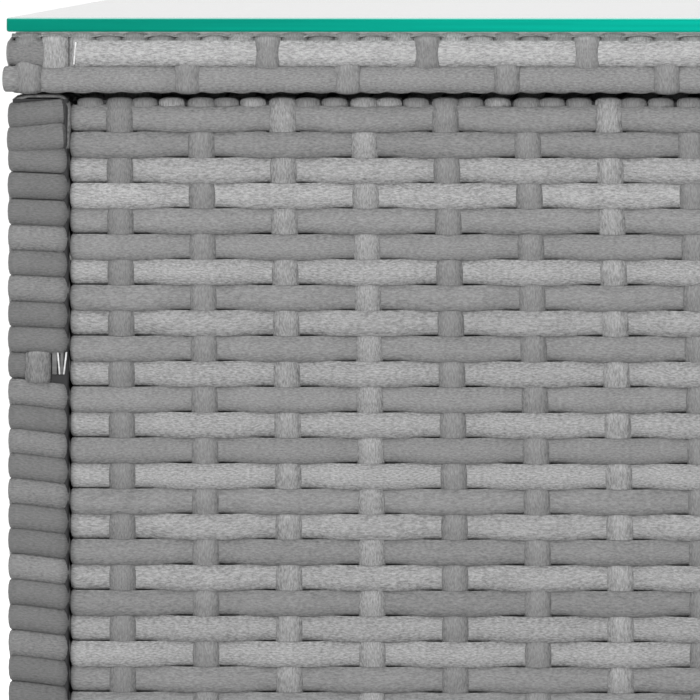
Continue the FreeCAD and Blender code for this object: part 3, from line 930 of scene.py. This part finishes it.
def over_row(turn, z):
    """1 where a turn passes over a level strand at that level, 0 where it lies under both."""
    upper = shows_over(turn, "upper") * eased((z - ROW_DIVIDE) / CROSSING_EASE + 0.5)
    lower = shows_over(turn, "lower") * eased((ROW_DIVIDE - z) / CROSSING_EASE + 0.5)
    return upper + lower


def top_lift(turn, a, half):
    """How far a turn stands off the tube's upper face: it passes over one of the two strands there."""
    outer = eased(a / TOP_EASE + 0.5)
    over = outer if turn % 2 == 0 else 1 - outer
    return TOP_LAYER * over * eased((half - abs(a)) / TOP_END_EASE)


def rim_tube(side):
    low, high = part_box(f"top_tube_{side}")
    axis = 1 if side in ENDS else 0
    return max(abs(low[axis]), abs(high[axis])), low.z, high.z


def wind_rim(side):
    face, base, roof = rim_tube(side)
    half = (roof - base) / 2 + LAYER
    section = round_tube(half, half, RIM_CORNER, RIM_SIDE_POINTS)
    clear_from, clear_ease = CLEAR_SPAN
    path, tones, fibres = [], [], []
    for turn in range(RIM_TURNS):
        # Those that show over the level strands are dark ones, but for the second.
        light = chance.random() < LIGHT_RIM_SHARE and turn % 3 > 0
        tone, fibre = strand_look(light or turn == 1)
        for a, b, push_a, push_b, share in section:
            arrived = min(share / RIM_PASSING_SHARE, 1.0)
            home = turn_home(turn - 1 + arrived) if turn else turn_home(0)
            z = (base + roof) / 2 + b
            over = over_row(turn, z)
            out = 2 * LAYER * over * min(CORNER_HASTE * max(push_a, 0.0), 1.0)
            up = ROW_CLEAR * over * eased((a - half + clear_from) / clear_ease) * push_b
            if push_b > 0.99:  # on the flat upper face
                up = max(up, top_lift(turn, a, half))
            up += RIM_TUCK * max(-push_b, 0.0)
            path.append((home, -(face - half + LAYER + a + out), z + up))
            tones.append(tone)
            fibres.append(fibre)
    return Strand(path, tones, fibres, STAKE_SIZE)


def top_strand(side, where):
    """A strand along a rim tube's upper face; the outer ones of the front and rear cover the corners."""
    face, base, roof = rim_tube(side)
    middle = face - (roof - base) / 2 + TOP_STRANDS[where]
    sign = -1 if where == "outer" else 1
    reach = middle - STRAND_WIDTH / 2
    if side in ENDS and where == "outer":
        reach = face + TOP_OVERHANG
    path = []
    for step in range(-2 * TURN_STEPS, (RIM_TURNS + 1) * TURN_STEPS + 1):
        u = turn_home(step / TURN_STEPS)
        rise = TOP_LAYER / 2 * (1 + sign * flat_wave(step / TURN_STEPS))
        if abs(u) < reach - TOP_END_GAP:
            path.append((u, -middle, roof + LAYER + rise))
    path = [(-reach, *path[0][1:]), *path, (reach, *path[-1][1:])]
    return Strand(path, *strand_look(where == "outer"))


for side in (*ENDS, *SIDES):
    winding = lay_strands(f"rim_turns_{side}", [wind_rim(side)], "across", side)
    lengths = [top_strand(side, where) for where in TOP_STRANDS]
    top_strands = lay_strands(f"rim_top_strands_{side}", lengths, "deep", side)
    make_wicker(joined(f"rim_winding_{side}", winding, top_strands), f"rim_wicker_{side}")

# ---- level strands round the rim ---------------------------------------------------------------------
# The two strands that run round all four sides outside the winding. The upper one is pieced together near
# the front left corner: the old length's end is tucked under a turn, with the new one's cut end beside it.

ROW_OUT = 2.8 * LAYER  # from the tube's face to the strand's middle
ROW_BEND = 3.4 * MM
BEND_GAP = 0.6 * MM
PULLED_IN = 0.9 * MM  # the upper strand is drawn tight round the corners
PULL_SPAN = 8.0 * MM
LOOSE_BEND = 1.5 * MM  # the lower one stands off them
DIP_HALF = 3.8 * MM  # a strand lies deepest for that much on each side of the turn that holds it
DIP_EASE = 2.0 * MM
CUT_END = -275.4 * MM  # where the upper row's new length starts on the front
OLD_END = -277.6 * MM  # where the old length's end is tucked in
HANDOVER = 244.0 * MM  # on the left side, under a turn, the old length gives way to the new one
CUT_FACE_OFF = (-0.2 * MM, 3.7 * LAYER)  # the pale cut face, from the new length's start and the tube
CUT_FACE = (0.6 * MM, 0.6, 5.0)  # its width, tone and lean in degrees
LOWER_LOOK = (DARK_TONE * 1.05, SMOOTH_FIBRE * 1.1)
NEW_LOOK = (LIGHT_TONE * 1.22, COARSE_FIBRE)
OLD_LOOK = (DARK_TONE * 0.87, SMOOTH_FIBRE)


def row_dip(u, row):
    """How far a level strand sinks at this place, to pass under a turn of the winding."""
    turn = round((u - FIRST_TURN) / RIM_PITCH)
    if not 0 <= turn < RIM_TURNS or not shows_over(turn, row):
        return 0.0
    return 1 - eased((abs(u - turn_home(turn)) - DIP_HALF) / DIP_EASE)


def row_path(row, level):
    """The whole way round the table at one level, as (quarter, place along that side, point)."""
    line = rim_tube("front")[0] + ROW_OUT
    pull, bulge = (PULLED_IN, 0.0) if row == "upper" else (0.0, LOOSE_BEND)
    corner = line - pull - ROW_BEND
    path = []
    for quarter in range(4):
        spin = Matrix.Rotation(math.radians(90 * quarter), 3, "Z")
        for step in range(-TURN_STEPS, (RIM_TURNS + 1) * TURN_STEPS):
            u = turn_home(step / TURN_STEPS)
            if abs(u) > corner - BEND_GAP:
                continue
            pulled = pull * eased((abs(u) - corner) / PULL_SPAN + 1)
            depth = line - 2 * LAYER * row_dip(u, row) - pulled
            path.append((quarter, u, spin @ Vector((u, -depth, level))))
        for step in range(BEND_STEPS + 1):
            angle = math.radians(90) * step / BEND_STEPS
            bend = ROW_BEND + bulge * math.sin(2 * angle)
            point = Vector((corner + bend * math.sin(angle), -corner - bend * math.cos(angle), level))
            path.append((quarter, line, spin @ point))
    return path


lower_way = [point for _, _, point in row_path("lower", LOWER_ROW)]
seam = len(lower_way) * 5 // 8  # its ends meet halfway along the rear
lower_way = lower_way[seam:] + lower_way[:seam]
new_length = [Vector((CUT_END, 0.0, UPPER_ROW))]
old_start, old_stop = [], []
for quarter, u, point in row_path("upper", UPPER_ROW):
    if (quarter > 0 or u > CUT_END) and (quarter < 3 or u < HANDOVER):
        new_length.append(point)
    elif quarter == 3 and u > HANDOVER:
        old_start.append(point)
    elif quarter == 0 and u < OLD_END:
        old_stop.append(point)
new_length[0].y = new_length[1].y
lengths = [
    Strand(lower_way, *LOWER_LOOK),
    Strand(new_length, *NEW_LOOK),
    Strand(old_start + old_stop, *OLD_LOOK),
]
rim_rows = lay_strands("rim_level_rows", lengths)
cut_at = (CUT_END + CUT_FACE_OFF[0], -rim_tube("front")[0] - CUT_FACE_OFF[1], UPPER_ROW)
make_wicker(joined("rim_level_rows", rim_rows, folded_end(cut_at, *CUT_FACE)))

# ---- woven top under the glass -----------------------------------------------------------------------
# The same one over, one under weave as the side panels, stretched flat across the frame over two support
# bars, its strands' ends tucked under the rim's winding.

FIELD_ROWS = 61
FIELD_WAVE = 0.5 * MM
FIELD_TUCK = 1.6 * MM  # how far the strands run in under the rim
FIELD_DRIFT = 0.1  # in millimetres
LIGHT_FIELD_SHARES = (0.5, 0.45)  # of the rows and of the strands across them


def weave_field():
    low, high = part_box("top_field_weave")
    reach = high.x + FIELD_TUCK
    middle = (low.z + high.z) / 2
    row_pitch = 2 * high.y / FIELD_ROWS
    row_share, stake_share = LIGHT_FIELD_SHARES
    rows, stakes = [], []
    for row in range(FIELD_ROWS):
        y = (row - (FIELD_ROWS - 1) / 2) * row_pitch + chance.uniform(-FIELD_DRIFT, FIELD_DRIFT) * MM
        sign = 1 if row % 2 else -1
        path = []
        for step in range(-WEFT_STEPS, WARP_COUNT * WEFT_STEPS + 1):
            phase = step / WEFT_STEPS
            u = warp_home(0) + phase * WARP_PITCH
            if abs(u) < reach:
                wave = sign * flat_wave(phase)
                path.append((u, y - BEAT["front"] * wave, middle + FIELD_WAVE * wave))
        rows.append(Strand(path, *strand_look(chance.random() < row_share)))
    for number in range(WARP_COUNT):
        sign = -1 if number % 2 else 1
        path = []
        for step in range(FIELD_ROWS * WARP_STEPS - 2, -3, -1):
            y = (step / WARP_STEPS - (FIELD_ROWS - 1) / 2) * row_pitch
            if abs(y) < reach:
                rise = FIELD_WAVE * sign * flat_wave(step / WARP_STEPS)
                path.append((warp_home(number), y, middle + rise))
        stakes.append(Strand(path, *strand_look(chance.random() < stake_share)))
    return lay_strands("top_field_rows", rows, "deep"), lay_strands("top_field_stakes", stakes, "across")


for piece in weave_field():
    make_wicker(piece, "top_field_weave")

# ---- glass plate and its pads ------------------------------------------------------------------------
# A square of 5 mm tempered float glass with ground and polished edges, lying loose on clear self-adhesive
# pads. Seen through its faces it is almost colourless; its edge gathers the glass's green.

PLATE_CORNER = 2.5 * MM
ARRIS = 0.8 * MM
GLASS_INDEX = 1.5
THROUGH_TINT = (0.965, 0.98, 0.975, 1.0)  # what light keeps on its way through
EDGE_GLOSS = 0.04
STREAK_PART = 0.35  # how much the fine streaks in the edge change its green


def choose_shader(tree, mask, shader, other):
    """Shows the other shader where the mask is 1."""
    mix = add_node(tree, "ShaderNodeMixShader")
    tree.links.new(mask, mix.inputs["Fac"])
    tree.links.new(shader.outputs["BSDF"], mix.inputs[1])
    tree.links.new(other.outputs["BSDF"], mix.inputs[2])
    tree.links.new(mix.outputs["Shader"], tree.nodes["Material Output"].inputs["Surface"])


def see_through_shadows(tree, shader):
    """Lets lamps and soft light through the glass, as thin clear glass does."""
    path = add_node(tree, "ShaderNodeLightPath")
    either = add_node(tree, "ShaderNodeMath", operation="MAXIMUM")
    tree.links.new(path.outputs["Is Shadow Ray"], either.inputs[0])
    tree.links.new(path.outputs["Is Diffuse Ray"], either.inputs[1])
    clear = add_node(tree, "ShaderNodeBsdfTransparent", color=THROUGH_TINT)
    choose_shader(tree, either.outputs[0], shader, clear)


def smudged(tree, shader, low, high):
    """Faint wipe marks in the polish."""
    place = add_node(tree, "ShaderNodeTexCoord").outputs["Object"]
    marks = add_node(tree, "ShaderNodeTexNoise", scale=9.0, detail=4.0)
    tree.links.new(place, marks.inputs["Vector"])
    tree.links.new(range_of(tree, marks.outputs["Fac"], low, high), shader.inputs["Roughness"])
    return marks.outputs["Fac"]


def clear_glass(name, colour, roughness):
    material, tree, shader = node_material(name, 0.0)
    shader.inputs["Transmission Weight"].default_value = 1.0
    shader.inputs["IOR"].default_value = GLASS_INDEX
    marks = smudged(tree, shader, *roughness)
    tint = colour_between(tree, marks, [channel * 0.985 for channel in colour], colour)
    tree.links.new(tint, shader.inputs["Base Color"])
    see_through_shadows(tree, shader)
    return material


def glass_edge(name, middle, corner, roughness):
    """The ground edge, deepest green near the plate's corners and brighter along each side's middle."""
    material, tree, shader = node_material(name, roughness)
    shader.inputs["Specular IOR Level"].default_value = EDGE_GLOSS
    place = add_node(tree, "ShaderNodeTexCoord").outputs["Object"]
    parts = add_node(tree, "ShaderNodeSeparateXYZ")
    tree.links.new(place, parts.inputs["Vector"])
    sizes = []
    for axis in ("X", "Y"):
        size = add_node(tree, "ShaderNodeMath", operation="ABSOLUTE")
        tree.links.new(parts.outputs[axis], size.inputs[0])
        sizes.append(size.outputs[0])
    nearer = add_node(tree, "ShaderNodeMath", operation="MINIMUM")
    for socket, size in zip(nearer.inputs, sizes):
        tree.links.new(size, socket)
    along = add_node(tree, "ShaderNodeMapRange", from_max=HALF_TABLE)
    tree.links.new(nearer.outputs[0], along.inputs["Value"])
    streaks = add_node(tree, "ShaderNodeTexNoise", scale=1.0, detail=3.0)
    stretch = add_node(tree, "ShaderNodeMapping", scale=(14.0, 14.0, 900.0))
    tree.links.new(place, stretch.inputs["Vector"])
    tree.links.new(stretch.outputs["Vector"], streaks.inputs["Vector"])
    green = colour_between(tree, along.outputs["Result"], middle, corner, at=(0.15, 0.86))
    streaked = colour_between(tree, streaks.outputs["Fac"], (0.75,) * 3, (1.2,) * 3)
    vary = add_node(tree, "ShaderNodeMix", data_type="RGBA", blend_type="MULTIPLY")
    vary.inputs["Factor"].default_value = STREAK_PART
    tree.links.new(green, vary.inputs["A"])
    tree.links.new(streaked, vary.inputs["B"])
    tree.links.new(vary.outputs["Result"], shader.inputs["Base Color"])
    rough = range_of(tree, streaks.outputs["Fac"], roughness, roughness + 0.15)
    tree.links.new(rough, shader.inputs["Roughness"])
    return material


def round_edges(piece, wanted, width, steps):
    """Bevels the edges whose two ends pass a test."""
    bpy.ops.object.mode_set(mode="EDIT")
    bpy.ops.mesh.select_mode(type="EDGE")
    bpy.ops.mesh.select_all(action="DESELECT")
    bpy.ops.object.mode_set(mode="OBJECT")
    for edge in piece.data.edges:
        first, second = (piece.data.vertices[index].co for index in edge.vertices)
        edge.select = wanted(first, second)
    bpy.ops.object.mode_set(mode="EDIT")
    bpy.ops.mesh.bevel(offset=width, segments=steps)
    bpy.ops.object.mode_set(mode="OBJECT")


low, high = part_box("glass_top")
deselect_all()
bpy.ops.mesh.primitive_cube_add(size=1.0, location=(low + high) / 2)
plate = bpy.context.object
plate.name = "glass_plate"
plate.scale = high - low
bpy.ops.object.transform_apply(location=True, rotation=True, scale=True)
round_edges(plate, lambda first, second: abs(first.z - second.z) > 1 * MM, PLATE_CORNER, 8)
round_edges(plate, lambda first, second: abs(first.z - second.z) < 0.1 * MM, ARRIS, 3)
for finish in (
    clear_glass("clear_float_glass", (0.94, 0.985, 0.965), (0.0, 0.02)),
    glass_edge("ground_glass_edge", (0.001, 0.36, 0.27), (0.001, 0.2, 0.14), 0.4),
    # Painted light: the upper arris is coloured pale to imitate the light from above that the chamfer
    # carries into the edge.
    glass_edge("glass_arris_painted_light", (0.32, 0.6, 0.53), (0.25, 0.46, 0.41), 0.3),
):
    plate.data.materials.append(finish)
for face in plate.data.polygons:
    flat_face = abs(face.normal.z) > 0.99
    # the upper arris's faces take the pale painted-light finish
    face.material_index = 0 if flat_face else 2 if face.normal.z > 0.6 else 1
bpy.ops.object.shade_smooth_by_angle(angle=math.radians(13))
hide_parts("glass_top")
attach(plate, "glass_plate")
give_finish(clear_glass("clear_soft_pad", (0.8, 0.82, 0.81), (0.2, 0.35)), ["glass_pads"])

# ---- floor, lights and camera ------------------------------------------------------------------------
# A wide pale floor under even studio light: soft sky all round, a broad lamp almost overhead, a large soft
# lamp in front and to the left and a weaker one behind.

FLOOR_SIZE = 400.0
FLOOR_GLOW = 0.3  # lifts the floor to white where the camera sees it
deselect_all()
bpy.ops.mesh.primitive_plane_add(size=FLOOR_SIZE)
floor = bpy.context.object
floor.name = "studio_floor"
floor_paint, tree, shader = node_material("studio_floor_paint", 0.9)
shader.inputs["Base Color"].default_value = (0.78, 0.78, 0.78, 1.0)
shader.inputs["Emission Color"].default_value = (1.0, 1.0, 1.0, 1.0)
straight = add_node(tree, "ShaderNodeLightPath").outputs["Is Camera Ray"]
tree.links.new(range_of(tree, straight, 0.0, FLOOR_GLOW), shader.inputs["Emission Strength"])
seen_from_below = add_node(tree, "ShaderNodeNewGeometry").outputs["Backfacing"]
choose_shader(tree, seen_from_below, shader, add_node(tree, "ShaderNodeBsdfTransparent"))
floor.data.materials.append(floor_paint)

SKY_SEEN = 1.02  # by the camera
SKY_MIRRORED = 0.89  # in glass and plating
SKY_SOFTENED = -0.4  # the change for the light that surfaces scatter
world = bpy.data.worlds.new("studio_sky")
bpy.context.scene.world = world
world.use_nodes = True
tree = world.node_tree
sky = tree.nodes["Background"]
sky.inputs["Color"].default_value = (1.0, 1.0, 1.0, 1.0)
path = add_node(tree, "ShaderNodeLightPath")
strength = add_node(tree, "ShaderNodeMath", operation="ADD")
seen = range_of(tree, path.outputs["Is Camera Ray"], SKY_MIRRORED, SKY_SEEN)
scattered = range_of(tree, path.outputs["Is Diffuse Ray"], 0.0, SKY_SOFTENED)
tree.links.new(seen, strength.inputs[0])
tree.links.new(scattered, strength.inputs[1])
tree.links.new(strength.outputs[0], sky.inputs["Strength"])

bpy.ops.object.light_add(type="SUN", rotation=(math.radians(12), math.radians(-10), 0))
overhead = bpy.context.object
overhead.name = "overhead_lamp"
overhead.data.energy = 1.5
overhead.data.angle = math.radians(25)

SOFT_LAMPS = {
    "front_lamp": ((-0.55, -2.6, 1.35), 42.0),
    "rear_lamp": ((0.7, 2.7, 1.3), 26.0),
}
LAMP_SIZE = 1.2
LAMP_AIM = Vector((0.0, 0.0, 0.25))
for name, (place, power) in SOFT_LAMPS.items():
    bpy.ops.object.light_add(type="AREA", location=place)
    lamp = bpy.context.object
    lamp.name = name
    lamp.data.shape = "DISK"
    lamp.data.size = LAMP_SIZE
    lamp.data.energy = power
    lamp.visible_glossy = lamp.visible_transmission = False
    lamp.rotation_euler = (LAMP_AIM - lamp.location).to_track_quat("-Z", "Y").to_euler()

CAMERA_BACK = 4.442
CAMERA_PLACE = Vector((0.0, -(HALF_TABLE + CAMERA_BACK), 0.415))
CAMERA_AIM = Vector((-0.1781, -HALF_TABLE, 0.2424))
bpy.ops.object.camera_add(location=CAMERA_PLACE)
camera = bpy.context.object
camera.rotation_euler = (CAMERA_AIM - CAMERA_PLACE).to_track_quat("-Z", "Y").to_euler()
camera.data.sensor_width = 36.0
camera.data.lens = 646.0
camera.data.clip_end = 600.0
bpy.context.scene.camera = camera
bpy.context.scene.view_settings.view_transform = "Standard"

bpy.data.objects.remove(strand_section)
